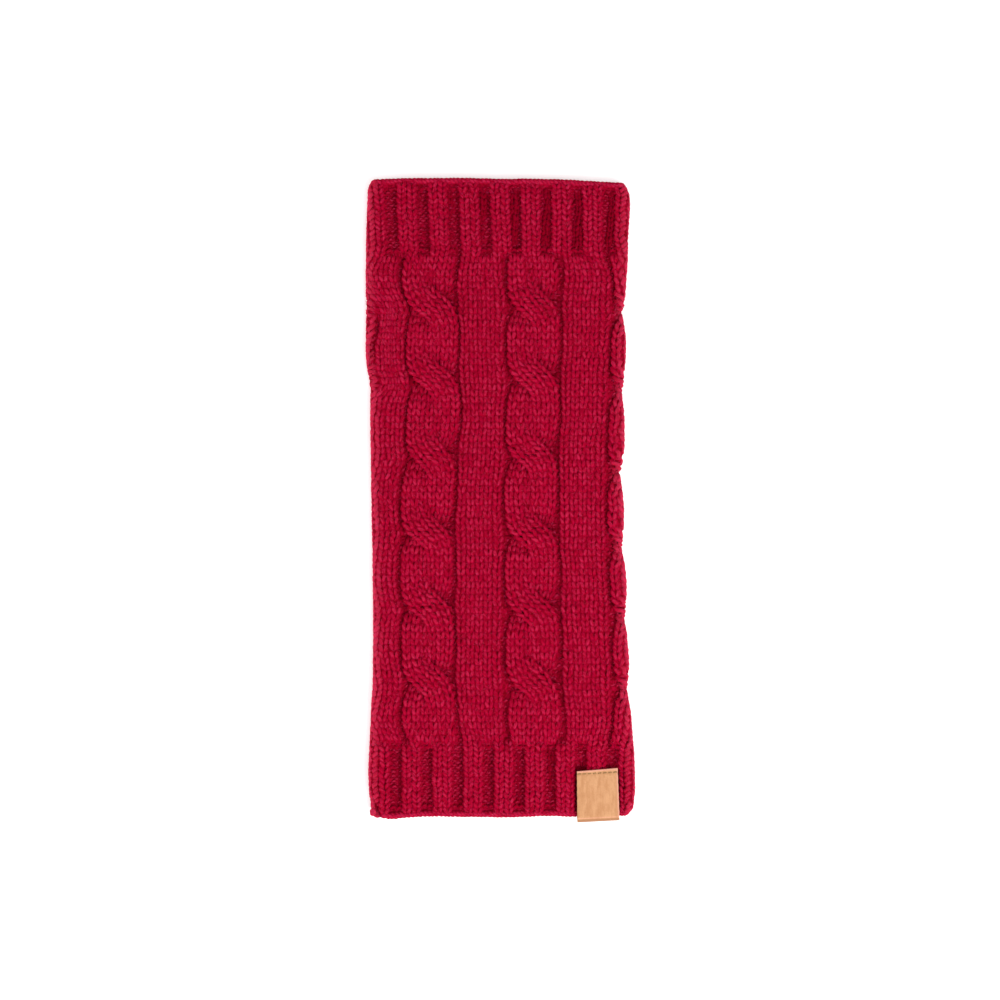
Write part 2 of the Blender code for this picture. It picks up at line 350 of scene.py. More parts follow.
def ease(low, high, value):
    """0 at low, 1 at high, smooth between."""
    share = np.clip((value - low) / (high - low), 0.0, 1.0)
    return share * share * (3 - 2 * share)


def mix(first, second, share):
    """Between first and second, at a share of the way."""
    return first * (1 - share) + second * share


# ---- the flattened tube
def tube_size(y):
    """Outer radius of the folds, radius of the fabric's middle there, flat length, way round."""
    outer = WALL + slit_of(y) / 2
    middle = outer - WALL / 2
    flat = right_edge(y) - left_edge(y) - 2 * outer
    return outer, middle, flat, 2 * flat + 2 * math.pi * middle


def front_s(x, y):
    """Place round the tube of a point that lies at x on the front layer."""
    outer, middle, _, _ = tube_size(y)
    return x - left_edge(y) - outer + math.pi / 2 * middle


def round_tube(s, y, h):
    """Fabric coordinates to x, y, z. The hidden layer is pressed flat where it rests."""
    outer, middle, flat, way = tube_size(y)
    s = np.mod(s, way)
    quarter = math.pi / 2 * middle
    x_left, x_right = left_edge(y) + outer, right_edge(y) - outer
    over = s - quarter  # along the front
    under = s - quarter - flat - 2 * quarter  # along the back
    turn_right = np.clip((over - flat) / middle, 0.0, math.pi)
    turn_left = np.where(s < quarter, s / middle, (s - way) / middle)  # from the left extreme
    # the front, the right fold and the back; what is left is the left fold's
    parts = [(over >= 0) & (over <= flat), (over > flat) & (under < 0), (under >= 0) & (under <= flat)]
    starts, complete = PRESSED_ENDS
    back = ease(starts, complete, under) * (1 - ease(flat - complete, flat - starts, under))
    pressed = np.maximum(back, ease(math.pi / 2, math.pi - PRESSED_TURN, turn_right))
    pressed = np.maximum(pressed, ease(0.0, math.pi / 2 - PRESSED_TURN, -turn_left) * (s > way / 2))
    flattened = PRESSED_FROM + (h - PRESSED_FROM) * (1 - PRESSED_SHARE * pressed)
    reach = middle + np.where(h > PRESSED_FROM, flattened, h)
    x = [x_left + over, x_right + reach * np.sin(turn_right), x_right - under]
    x = np.select(parts, x, x_left - reach * np.cos(turn_left))
    z = [outer + reach, outer + reach * np.cos(turn_right), outer - reach]
    z = np.select(parts, z, outer + reach * np.sin(turn_left)) + BACK_LIFT * back
    _, low = within_cuffs(y)
    peek = ease(BACK_PEEK[0], BACK_PEEK[1], x) * (1 - ease(BACK_PEEK[2], BACK_PEEK[3], x))
    return x, y + hem_shift(x, y) - BACK_PEEK_DROP * back * peek * low, z


def within_cuffs(y):
    """0 at the arm's end of the upper and the lower cuff, and 1 at their hems."""
    high = np.clip((y - TOP_RIB_END) / (TOP_HEM - TOP_RIB_END), 0, PAST_HEM)
    low = np.clip((BOTTOM_RIB_END - y) / (BOTTOM_RIB_END - BOTTOM_HEM), 0, PAST_HEM)
    return high, low


def hem_shift(x, y):
    """How far the hems' unevenness moves the fabric up, fading out over the cuffs."""
    high, low = within_cuffs(y)
    return hem_rise(x) * low - hem_drop(x) * high


# ---- the stitches
def row_heights():
    """The middle height of every row, from the lower hem up, and each row's own height."""
    low = np.linspace(BOTTOM_HEM + HEM_ROW, BOTTOM_RIB_END, RIB_ROWS + 1)
    arm = np.linspace(BOTTOM_RIB_END, TOP_RIB_END, ARM_ROWS + 1)
    high = np.linspace(TOP_RIB_END, TOP_HEM - HEM_ROW, RIB_ROWS + 1)
    edges = np.concatenate([low, arm[1:], high[1:]])
    return (edges[:-1] + edges[1:]) / 2, np.diff(edges)


def strand_curve():
    """How far a strand has moved out between two crossings, and its length up to there."""
    share = np.linspace(0, 1, CROSS_STEPS + 1)
    out = STRAND_OFFSET * np.tanh(CROSS_SHARP * np.sin(math.pi * share)) / math.tanh(CROSS_SHARP)
    steps = np.hypot(np.diff(out), CROSS_SPACING / CROSS_STEPS)
    return share, out, np.concatenate([[0], np.cumsum(steps)])


SHARE, OUT, LENGTH = strand_curve()
STRETCH = LENGTH[-1] / CROSS_SPACING


def strands(centre, y, crossing):
    """A cable's left and right strands: middles, slopes and heights, with stitches evenly spaced."""
    heights = np.array([row[crossing] for row in CROSSINGS])
    zone = np.clip(np.searchsorted(-heights, -y, side="right") - 1, 0, len(heights) - 2)
    high, low = heights[zone], heights[zone + 1]
    share = np.interp((high - y) / (high - low), LENGTH / LENGTH[-1], SHARE)
    out = np.interp(share, SHARE, OUT)
    slope = np.interp(share, SHARE, np.gradient(OUT, SHARE)) / (high - low)
    turn = np.cos(math.pi * share)
    along = high - share * (high - low)
    centre = np.interp(along, y, centre)
    near = np.abs(turn) ** CROSS_NEAR * np.sign(turn)
    before, after = np.maximum(near, 0), np.maximum(-near, 0)
    left_height = STRAND_MID - UNDER_DIP * before + OVER_RISE * after
    right_height = STRAND_MID + OVER_RISE * before - UNDER_DIP * after
    left = (centre - out, slope, left_height, 1 - OVER_WIDER * near)
    right = (centre + out, -slope, right_height, 1 + OVER_WIDER * near)
    return left, right, along


def near_rib(y, before, after):
    """1 within the ribbed cuffs, easing to 0 towards the arm."""
    low = 1 - ease(BOTTOM_RIB_END - before, BOTTOM_RIB_END + after, y)
    high = ease(TOP_RIB_END - after, TOP_RIB_END + before, y)
    return np.maximum(low, high)


def groove_lines(y, way, readers):
    """Places round the tube of the purl columns that part cables and panels."""
    lines = [front_s(g(y), y) for g in readers]
    lines.append(lines[4] + CABLE_WIDTH)
    last = lines[0] + way - LEFT_PANEL_WIDTH
    spans = np.array([PANEL_WIDTH, CABLE_WIDTH, PANEL_WIDTH, CABLE_WIDTH])
    scale = (last - lines[5]) / spans.sum()
    for span in spans:
        lines.append(lines[-1] + span * scale)
    lines.append(lines[0] + way)
    return lines


def layout():
    """Every stitch by row and column: its middle (s, y), one column across, one row up, its relief,
    1 for knit or -1 for purl, and how far its legs lean."""
    y, row = row_heights()
    shape = (len(y), COLUMNS)
    laid = SimpleNamespace(y=y, row=row, way=tube_size(y)[3])
    laid.place, laid.across, laid.up = (np.zeros((*shape, 2)) for _ in range(3))
    laid.place[:, :, 1] = y[:, None]
    laid.up[:, :, 1] = row[:, None]
    laid.relief = np.zeros(shape)
    lines = groove_lines(y, laid.way, groove_x)
    steady = groove_lines(y, laid.way, steady_x)
    in_cable = np.zeros(COLUMNS, bool)
    for n, (kind, first, count, crossing) in enumerate(ZONES):
        if kind == "panel":
            lay_panel(laid, first, count, lines[n], lines[n + 1])
        else:
            lay_cable(laid, first, (steady[n] + steady[n + 1]) / 2, crossing)
            in_cable[first : first + count] = True
    blend = near_rib(y, *RIB_BLEND)[:, None]
    rib_s = rib_places(y, laid.way)
    lay_ribs(laid, rib_s, blend)
    for _, first, _, _ in ZONES:
        lay_groove(laid, first - 1, rib_s, blend)
    step = near_rib(y, *RELIEF_STEP)[:, None]
    columns = np.arange(COLUMNS)
    from_hem = np.minimum(TOP_HEM - y, y - BOTTOM_HEM)
    fade = (HEM_RELIEF + (1 - HEM_RELIEF) * ease(*HEM_FADE, from_hem))[:, None]
    laid.relief = mix(laid.relief, np.array(RIB_RELIEF)[columns % 4] * fade, step)
    turned = mix(laid.up[:, :, 0], np.gradient(rib_s, axis=0), blend)
    laid.up[:, :, 0] = np.where(in_cable, turned, np.gradient(laid.place[:, :, 0], axis=0))
    laid.up[:, :, 1] = mix(laid.up[:, :, 1], row[:, None], blend)
    rows = np.arange(len(y))[:, None]
    in_rib = (rows < RIB_ROWS) | (rows >= RIB_ROWS + ARM_ROWS)
    arm_purl = np.isin(columns, [first - 1 for _, first, _, _ in ZONES])
    laid.knit = np.where(np.where(in_rib, columns % 4 >= 2, arm_purl), -1.0, 1.0)
    laid.lean = mix(np.where(in_cable, CABLE_LEAN, LOOP_LEAN), RIB_LOOP_LEAN, step)
    return laid


def lay_panel(laid, first, count, left, right):
    """Plain columns between two grooves: the outer two take what the others leave."""
    inner = np.minimum(PANEL_COLUMN, (right - left - GROOVE_WIDTH) / count)
    outer = (right - left - GROOVE_WIDTH - inner * (count - 2)) / 2
    edge = left + GROOVE_WIDTH / 2
    for m in range(count):
        from_edge = min(m, count - 1 - m)
        width = inner if from_edge else outer
        laid.place[:, first + m, 0] = edge + width / 2
        laid.across[:, first + m, 0] = width
        laid.relief[:, first + m] = PANEL_RELIEF[from_edge]
        edge = edge + width


def lay_cable(laid, first, centre, crossing):
    """Two strands of three columns each, their courses turned partly with them."""
    left, right, along = strands(centre, laid.y, crossing)
    for start, (middle, slope, height, spread) in ((first, left), (first + 3, right)):
        length = np.sqrt(1 + slope**2)
        slant = np.arctan(slope)
        course = np.stack([np.cos(slant * STITCH_TURN), -np.sin(slant * STITCH_TURN)], axis=1)
        course *= (STRAND_COLUMN * spread / np.cos(slant * (1 - STITCH_TURN)))[:, None]
        for m in (-1, 0, 1):
            column = start + m + 1
            laid.place[:, column, 0] = middle + course[:, 0] * m
            laid.place[:, column, 1] = along + course[:, 1] * m
            laid.across[:, column] = course
            laid.up[:, column, 0] = laid.row * STRETCH * slope / length
            laid.up[:, column, 1] = laid.row * STRETCH / length
            laid.relief[:, column] = height - STRAND_DOME * (m * m) + CABLE_RELIEF


def lay_ribs(laid, rib_s, blend):
    """Let the arm's columns wander to the ribs' places in the cuffs."""
    width = np.array(RIB_WIDTHS)[np.arange(COLUMNS) % 4]
    ribbed = ((laid.place, rib_s, laid.y[:, None]), (laid.across, width, 0.0))
    for values, sideways, along in ribbed:
        values[:, :, 0] = mix(values[:, :, 0], sideways, blend)
        values[:, :, 1] = mix(values[:, :, 1], along, blend)


def lay_groove(laid, groove, rib_s, blend):
    """A purl column of the arm takes whatever its neighbours leave."""
    place, across = laid.place, laid.across
    before, after = (groove - 1) % COLUMNS, groove + 1
    start = place[:, before] + across[:, before] / 2
    if before > groove:
        start[:, 0] -= laid.way
    stop = place[:, after] - across[:, after] / 2
    wide = stop - start
    open_share = ease(*GROOVE_GAP, wide[:, 0])
    wide[wide[:, 0] < GROOVE_WIDTH] = (GROOVE_WIDTH, 0.0)
    ribbed = np.stack([rib_s[:, groove], laid.y], axis=1)
    place[:, groove] = mix((start + stop) / 2, ribbed, blend)
    across[:, groove] = mix(wide, across[:, groove], blend)
    closed, opened = FOLD_RELIEF if groove == FOLD_GROOVE else GROOVE_RELIEF
    laid.relief[:, groove] = closed + (opened - closed) * open_share


def rib_places(y, way):
    """Place round the tube of each rib column."""
    columns = np.arange(COLUMNS)
    first = np.where(y < 0, RIB_BOTTOM[0], RIB_TOP[0])[:, None]
    pitch = np.where(y < 0, RIB_BOTTOM[1], RIB_TOP[1])[:, None]
    wrapped = columns >= FIRST_LEFT_RIB
    turned = np.where(wrapped, columns - COLUMNS, columns)
    x = first + pitch * (turned // 4) + np.array(RIB_OFFSETS)[turned % 4]
    lean = RIB_LEAN * (1 - ease(*RIB_LEAN_ENDS, x))
    x = x + lean * np.clip(TOP_HEM - y, 0, TOP_HEM - TOP_RIB_END)[:, None] * (y > 0)[:, None]
    s = front_s(x, y[:, None]) + np.where(wrapped, way[:, None], 0.0)
    nominal = np.cumsum(np.array(RIB_STEPS)[(columns - 1) % 4])
    start, stop = HIDDEN_RIBS
    share = (nominal[start : stop + 1] - nominal[start]) / (nominal[stop] - nominal[start])
    s[:, start : stop + 1] = s[:, [start]] + share * (s[:, [stop]] - s[:, [start]])
    return s


def fold_slip(s, y, way):
    """How far the fabric has slipped forward: all of it at the left fold, less further on."""
    signed = np.where(s > way / 2, s - way, s)
    return slip_at(y) * (1 - ease(*SLIP_FRONT, signed)) * ease(*SLIP_BACK, signed)


def press(x, y):
    """How far the label presses the fabric down."""
    inside = ease(*PRESS_LEFT, x) * (1 - ease(*PRESS_RIGHT, x)) * (1 - ease(*PRESS_TOP, y))
    return PRESS_DEPTH * inside


def pinch(x, y):
    """How far the fabric is drawn in beside the seam's end."""
    (x0, y0), (x1, y1) = PINCH_TOP, PINCH_END
    line = x0 + (y - y0) * (x1 - x0) / (y1 - y0)
    return PINCH_DEPTH * np.exp(-(((x - line) / PINCH_WIDTH) ** 2)) * (1 - ease(*PINCH_STARTS, y))


def yarn_rows(laid):
    """Every row's yarn as points with their facts: rows, points round the tube, facts."""
    rows = len(laid.y)
    stray = RNG.normal(0, 1, (rows, COLUMNS, 3)) * np.array(STITCH_SHIFT)
    place = laid.place + stray[:, :, :2]
    after, before = np.roll(laid.relief, -1, axis=1), np.roll(laid.relief, 1, axis=1)
    tilt = np.clip((after - before) / 2 * TILT_SHARE, -TILT_LIMIT, TILT_LIMIT)
    relief = laid.relief + stray[:, :, 2]
    turn = -math.pi + 2 * math.pi * np.arange(LOOP_STEPS) / LOOP_STEPS
    u = turn / (2 * math.pi) + laid.lean[:, :, None] * np.sin(2 * turn)
    v = LOOP_REACH * np.cos(turn)
    depth = -LOOP_DEPTH * np.cos(2 * turn)
    flat = (
        place[:, :, None, :]
        + laid.across[:, :, None, :] * u[..., None]
        + laid.up[:, :, None, :] * v[None, None, :, None]
    )
    height = relief[:, :, None] + tilt[:, :, None] * u + laid.knit[:, :, None] * depth
    # the sinker between two columns lies halfway between what the two of them ask for
    end = place + laid.across * 0.5 - laid.up * LOOP_REACH
    end = np.roll(end, 1, axis=1)
    end[:, 0, 0] -= tube_size(place[:, 0, 1])[3]
    end_height = np.roll(relief + tilt * 0.5 - laid.knit * LOOP_DEPTH, 1, axis=1)
    flat[:, :, 0, :] = (flat[:, :, 0, :] + end) / 2
    height[:, :, 0] = (height[:, :, 0] + end_height) / 2
    leg = np.abs(np.sin(turn)) * np.ones(height.shape)
    tone = RNG.uniform(0, 1, (rows, COLUMNS, 2))[:, :, (turn >= 0).astype(int)]
    fabric = relief[:, :, None] + tilt[:, :, None] * u
    facts = yarn_facts(flat[..., 0], flat[..., 1], height, fabric, leg, tone)
    return facts.reshape(rows, -1, FACTS)


def yarn_facts(s, y, h, fabric, leg, tone):
    """Points along a yarn: x, y, z, the way out, the fabric's height, how near a leg's middle, tone."""
    points, out = to_world(s, y, h)
    drawn_in = pinch(points[..., 0] / MM, points[..., 1] / MM)
    # where the seam's end draws the fabric in, its height fact is lowered too, so the colours paint
    # shade into that crease
    fabric = fabric - np.where(out[..., 2] > 0, drawn_in, 0.0)
    return np.concatenate([points, out, np.stack([fabric, leg, tone], axis=-1)], axis=-1)


def to_world(s, y, h):
    """Fabric coordinates to points in metres, and the way out of the fabric there."""
    way = tube_size(y)[3]
    s = np.mod(s, way)
    s = s + fold_slip(s, y, way)
    middle = np.stack(round_tube(s, y, 0 * h), axis=-1)
    front = np.mod(s, way) < way / 2
    h = h - np.where(front, press(middle[..., 0], y) + pinch(middle[..., 0], y), 0.0)
    out = np.stack(round_tube(s, y, PRESSED_FROM + 0 * h), axis=-1) - middle
    out /= np.linalg.norm(out, axis=-1, keepdims=True)
    return np.stack(round_tube(s, y, h), axis=-1) * MM, out


def past_outline(points):
    """How far points in metres lie past the outline at the folds, in mm."""
    x, y = points[:, 0] / MM, points[:, 1] / MM
    return np.maximum(x - right_edge(y), left_edge(y) - x)


def corner_inset(x, y):
    """How far a hem's rounded corner lies within the outline."""
    top, bottom = TOP_HEM + hem_shift(x, TOP_HEM), BOTTOM_HEM + hem_shift(x, BOTTOM_HEM)
    radius = np.where((x < 0) & (y < 0), SEAM_CORNER, CORNER)
    short = np.clip(radius - np.minimum(top - y, y - bottom), 0, radius)
    return radius - np.sqrt(radius**2 - short**2)


def edge_rules(rows):
    """For each fold by y: how far out the yarn is, its way to go, and where its middle must stop."""
    x, y = rows[:, :, 0].ravel() / MM, rows[:, :, 1].ravel() / MM
    at = np.arange(BOTTOM_HEM, TOP_HEM, 1.0)  # levels, a millimetre apart
    rules = []
    for side, edge in ((-1, left_edge), (1, right_edge)):
        outer = np.where(side * x > FOLD_X, side * x, -np.inf)
        reach = np.array([outer[np.abs(y - level) < EDGE_REACH].max() for level in at])
        stop = side * edge(at) - corner_inset(side * CORNER_X, at) - EDGE_INSET
        reach = np.where(np.isfinite(reach), reach, stop)
        rules.append((side, at, reach, stop - reach + EDGE_OVER, stop))
    return rules


def settle(points, rules, further=0.0):
    """Move what lies at the folds out to the outline, or past it, and lay the underside flat."""
    x, y, z = (points[..., k] / MM for k in range(3))
    for side, at, reach, gap, stop in rules:
        out = side * x
        near = ease(*EDGE_PULL, out - np.interp(y, at, reach))
        out = out + (np.interp(y, at, gap) + further) * near
        limit = np.interp(y, at, stop) + further
        x = side * (limit - EDGE_SOFT * np.logaddexp(0.0, (limit - out) / EDGE_SOFT))
    z = UNDERSIDE + UNDERSIDE_SOFT * np.logaddexp(0.0, (z - UNDERSIDE) / UNDERSIDE_SOFT)
    points[..., 0], points[..., 2] = x * MM, z * MM
    return points


def hem_edge(height):
    """The two yarns that turn round each other along a hem."""
    count = COLUMNS * ROPE_STEPS
    way = tube_size(np.array([height]))[3][0]
    share = np.arange(count) / count
    level, tone = (np.full(count, value) for value in ROPE_LOOK)
    for start in (0.0, math.pi):
        turn = start + 2 * math.pi * COLUMNS * share
        y, h = height + ROPE_REACH[0] * np.cos(turn), ROPE_REACH[1] * np.sin(turn)
        yield yarn_facts(way * share, y, h, level, np.ones(count), tone)


def seam_end():
    """The knotted end of the seam's yarn: a small ring."""
    turn = 2 * math.pi * np.arange(SEAM_RING_POINTS) / SEAM_RING_POINTS
    shape = np.stack([np.cos(turn), np.sin(turn), np.sin(2 * turn)], axis=1)
    ring = np.ones((SEAM_RING_POINTS, FACTS))
    ring[:, :3] = (np.array(SEAM_END) + shape * SEAM_RING) * MM
    ring[:, 3:5] = 0.0  # it faces straight up
    return ring


def sheet(bm, points):
    """A sheet of quads through rows of points, in metres."""
    tall, across = points.shape[:2]
    made = bmesh.ops.create_grid(bm, x_segments=across - 1, y_segments=tall - 1, size=1.0)
    for vert, place in zip(made["verts"], points.reshape(-1, 3)):
        vert.co = place


def shell_piece(laid, rules, material):
    """The matted wool that closes the gaps between the yarns: one sheet among them."""
    s, y, h = laid.place[:, :, 0], laid.place[:, :, 1], laid.relief + BACKING_RISE
    s_next = np.roll(s, -1, axis=1)
    s_next[:, -1] += tube_size(y[:, 0])[3]
    pairs = ((s, s_next), (y, np.roll(y, -1, axis=1)), (h, np.roll(h, -1, axis=1)))
    halved = [np.stack([a, (a + b) / 2], axis=2).reshape(len(a), -1) for a, b in pairs]
    s, y, h = (np.concatenate([a[:1], a, a[-2:-1]]) for a in halved)
    y[0], y[-1] = BOTTOM_HEM + HEM_INSET, TOP_HEM - HEM_INSET
    h[0], h[-1] = BACKING_HEM, BACKING_HEM
    points = settle(to_world(s, y, h)[0], rules, further=BACKING_FURTHER)
    bm = bmesh.new()
    sheet(bm, np.concatenate([points, points[:, :1]], axis=1))
    bmesh.ops.remove_doubles(bm, verts=bm.verts, dist=WELD * MM)
    return link("knit_backing", bm, material)


def fuzz_piece(rows, material):
    """Loose fibres on the outward side of the yarns, each a thin spindle."""
    flat = rows.reshape(-1, FACTS)
    chance = np.where(flat[:, 5] > FUZZ_LOWEST, 1.0, 0.0)
    chance = chance * np.where(flat[:, 6] > FUZZ_SUNK[0], 1.0, FUZZ_SUNK[1])
    chance = chance * np.where(past_outline(flat) > FUZZ_RIM[0], FUZZ_RIM[1], 1.0)
    picked = RNG.choice(len(flat), FUZZ_COUNT, replace=False, p=chance / chance.sum())
    root, out = flat[picked, :3], flat[picked, 3:6]
    drift = RNG.normal(0, 1, (FUZZ_COUNT, 3))
    drift -= out * np.sum(drift * out, axis=1, keepdims=True)
    drift /= np.linalg.norm(drift, axis=1, keepdims=True)
    half = RNG.uniform(*FUZZ_LONG, (FUZZ_COUNT, 1)) * MM * 0.5
    start = root + out * YARN * FUZZ_ROOT * MM
    middle = start + (out * FUZZ_RISE + drift * FUZZ_BEND) * half
    end = middle + (out * FUZZ_END_RISE + drift) * half
    rise = np.cross(out, drift)
    bm = bmesh.new()
    for n in range(FUZZ_COUNT):
        tips = [bm.verts.new(start[n]), bm.verts.new(end[n])]
        ring = []
        for turn in (0.0, 2 * math.pi / 3, 4 * math.pi / 3):
            spoke = rise[n] * math.cos(turn) + out[n] * math.sin(turn)
            ring.append(bm.verts.new(middle[n] + spoke * FUZZ_THICK * MM))
        for k in range(3):
            after = ring[(k + 1) % 3]
            bm.faces.new((tips[0], ring[k], after))
            bm.faces.new((tips[1], after, ring[k]))
    bmesh.ops.recalc_face_normals(bm, faces=bm.faces)
    return link("knit_fuzz", bm, material)


def add(name, data):
    """A new object in the scene."""
    made = bpy.data.objects.new(name, data)
    bpy.context.collection.objects.link(made)
    return made


def link(name, shape, material):
    """A mesh, or a bmesh, as a smooth object of one material."""
    mesh = shape
    if isinstance(shape, bmesh.types.BMesh):
        mesh = bpy.data.meshes.new(name)
        shape.to_mesh(mesh)
        shape.free()
    mesh.name = name
    mesh.materials.clear()
    mesh.materials.append(material)
    mesh.shade_smooth()
    return add(name, mesh)


def map_strips(mesh, counts, sides):
    """The skins' map for a bake: each yarn in two halves, and every half a strip of its own."""
    corner = np.empty(len(mesh.loops), dtype=np.int32)
    mesh.loops.foreach_get("vertex_index", corner)
    ring, side = np.divmod(corner.reshape(-1, 4), sides)
    starts = np.concatenate([[0], np.cumsum(counts)])
    path = np.searchsorted(starts, ring, side="right") - 1
    ring, count = ring - starts[path], counts[path]
    ring = ring + count * (np.max(ring, axis=1, keepdims=True) - ring > 1)
    side = side + sides * (np.max(side, axis=1, keepdims=True) - side > 1)
    cut = (count + 1) // 2
    second = np.min(ring, axis=1, keepdims=True) >= cut
    across = STRIP_ENDS + (1 - 2 * STRIP_ENDS) * (ring - cut * second) / cut
    up = STRIP_SIDES + (1 - 2 * STRIP_SIDES) * side / sides
    up = (2 * path + second + up) / (2 * len(counts))
    places = np.stack([across, up], axis=-1).astype(np.float32)
    mesh.uv_layers[0].uv.foreach_set("vector", places.ravel())
    mesh.uv_layers[0].name = BAKE_MAP


def skin(name, paths, radius, sides, closed):
    """Round skins along the paths, as one mesh."""
    curve = bpy.data.curves.new(name, "CURVE")
    curve.dimensions = "3D"
    curve.bevel_depth = radius * MM
    curve.bevel_resolution = (sides - 4) // 2
    for points in paths:
        spline = curve.splines.new("POLY")
        spline.points.add(len(points) - 1)
        four = np.concatenate([points[:, :3], np.ones((len(points), 1))], axis=1)
        spline.points.foreach_set("co", four.astype(np.float32).ravel())
        if points.shape[1] == FACTS:
            swell = LEG_SWELL[0] + LEG_SWELL[1] * points[:, 7] ** 2
            spline.points.foreach_set("radius", swell.astype(np.float32))
        spline.use_cyclic_u = closed
    guide = add(name + "_guide", curve)
    bpy.context.view_layer.update()
    graph = bpy.context.evaluated_depsgraph_get()
    mesh = bpy.data.meshes.new_from_object(guide.evaluated_get(graph))
    bpy.data.objects.remove(guide)
    bpy.data.curves.remove(curve)
    return mesh


def mark(mesh, name, *values):
    """Keep three numbers for every vertex."""
    mesh.attributes.new(name, "FLOAT_VECTOR", "POINT")
    triples = np.stack(values, axis=-1).astype(np.float32)
    mesh.attributes[name].data.foreach_set("vector", triples.ravel())


def tubes(name, paths, radius, sides, material, closed=True, twist=YARN_TWIST):
    """Yarns along the paths as one mesh.

    Attribute lay says where each point lies on its yarn: cosine, sine, and length in mm. On knitted
    yarn, attribute sit says how far outwards it faces, how high the fabric stands there in mm, and
    how near the middle of a stitch's leg it is, and attribute look the leg's own tone and how near
    it lies to the folds' edge, where the colour paints a paler rim of light.
    """
    mesh = skin(name, paths, radius, sides, closed)
    along = []
    for number, points in enumerate(paths):
        steps = np.linalg.norm(np.diff(points[:, :3], axis=0), axis=1) / MM
        along.append(np.concatenate([[0], np.cumsum(steps)]) + PATTERN_SHIFT * number)
    along = np.concatenate(along)[:, None]
    turn = (2 * math.pi * np.arange(sides) / sides)[None, :] + twist * along
    if turn.size != len(mesh.vertices):
        raise RuntimeError(f"{name}: {len(mesh.vertices)} vertices for {turn.size} places")
    map_strips(mesh, np.array([len(points) for points in paths]), sides)
    mark(mesh, "lay", np.cos(turn), np.sin(turn), along + 0 * turn)
    if paths[0].shape[1] == FACTS:
        place = np.empty(len(mesh.vertices) * 3, dtype=np.float32)
        mesh.vertices.foreach_get("co", place)
        facts = np.repeat(np.concatenate(paths), sides, axis=0)
        outward = np.sum((place.reshape(-1, 3) - facts[:, :3]) * facts[:, 3:6], axis=1) / (radius * MM)
        mark(mesh, "sit", outward, facts[:, 6], facts[:, 7])
        # nearness to the folds' edge, where the colour paints a paler rim of light
        rim = ease(-RIM_LIGHT_WIDTH, -EDGE_INSET, past_outline(facts))
        mark(mesh, "look", facts[:, 8], rim, 0 * rim)
    return link(name, mesh, material)


# ---- shader maths
class Graph:
    """A material's nodes, added with one call each."""

    def __init__(self, name):
        self.material = bpy.data.materials.new(name)
        self.material.use_nodes = True
        self.tree = self.material.node_tree
        self.surface = self.tree.nodes["Principled BSDF"]

    def put(self, socket, value):
        if isinstance(value, Value):
            self.tree.links.new(value.socket, socket)
        else:
            socket.default_value = value

    def node(self, kind, settings=(), output=0, **inputs):
        made = self.tree.nodes.new(kind)
        for key, value in dict(settings).items():
            setattr(made, key, value)
        for key, value in inputs.items():
            slot = int(key[1:]) if key[0] == "i" and key[1:].isdigit() else key.replace("_", " ")
            self.put(made.inputs[slot], value)
        return Value(self, made.outputs[output])

    def attribute(self, name):
        return self.node("ShaderNodeAttribute", {"attribute_name": name}, output=1)

    def noise(self, vector, scale, detail, roughness=0.5):
        return self.node("ShaderNodeTexNoise", Vector=vector, Scale=scale, Detail=detail,
                         Roughness=roughness)

    def blend(self, share, first, second):
        settings = {"data_type": "RGBA", "clamp_factor": True}
        return self.node("ShaderNodeMix", settings, output=2, i0=share, i6=first, i7=second)

    def stretch(self, vector, factors):
        return self.node("ShaderNodeVectorMath", {"operation": "MULTIPLY"}, i0=vector, i1=factors)

    def bump(self, height, strength, distance):
        return self.node("ShaderNodeBump", Height=height, Strength=strength, Distance=distance)

    def finish(self, **inputs):
        for key, value in inputs.items():
            self.put(self.surface.inputs[key.replace("_", " ")], value)
        return self.material


class Value:
    """A shader socket that takes part in sums."""

    def __init__(self, graph, socket):
        self.graph, self.socket = graph, socket

    def maths(self, kind, first, second):
        return self.graph.node("ShaderNodeMath", {"operation": kind}, i0=first, i1=second)

    def __add__(self, other):
        return self.maths("ADD", self, other)

    __radd__ = __add__

    def __sub__(self, other):
        return self.maths("SUBTRACT", self, other)

    def __rsub__(self, other):
        return self.maths("SUBTRACT", other, self)

    def __mul__(self, other):
        return self.maths("MULTIPLY", self, other)

    __rmul__ = __mul__

    def __truediv__(self, other):
        return self.maths("DIVIDE", self, other)

    def __rtruediv__(self, other):
        return self.maths("DIVIDE", other, self)

    def __abs__(self):
        return self.maths("ABSOLUTE", self, 0.0)

    def range(self, low, high):
        """0 below low, 1 above high, smooth between."""
        settings = {"interpolation_type": "SMOOTHSTEP"}
        return self.graph.node("ShaderNodeMapRange", settings, i0=self, i1=low, i2=high)

    def part(self, index):
        """One part of a vector."""
        return self.graph.node("ShaderNodeSeparateXYZ", output=index, i0=self)


# the wool's own tones are DARK and CRIMSON; the deepest red paints shade, the pale and rim pinks paint
# light
DEEP_SHADE = (0.17, 0.0001, 0.0055, 1)
DARK = (0.292, 0.0002, 0.0150, 1)
CRIMSON = (0.370, 0.0006, 0.0240, 1)
PALE_HIGHLIGHT = (0.60, 0.028, 0.098, 1)
RIM_LIGHT = (0.66, 0.040, 0.105, 1)
FUZZ = (0.66, 0.05, 0.11, 1)
LEATHER_DARK, LEATHER_LIGHT = (0.51, 0.235, 0.100, 1), (0.62, 0.315, 0.150, 1)
LEATHER_CUT_HIGHLIGHT, LEATHER_SHADE = (0.80, 0.36, 0.27, 1), (0.36, 0.155, 0.066, 1)


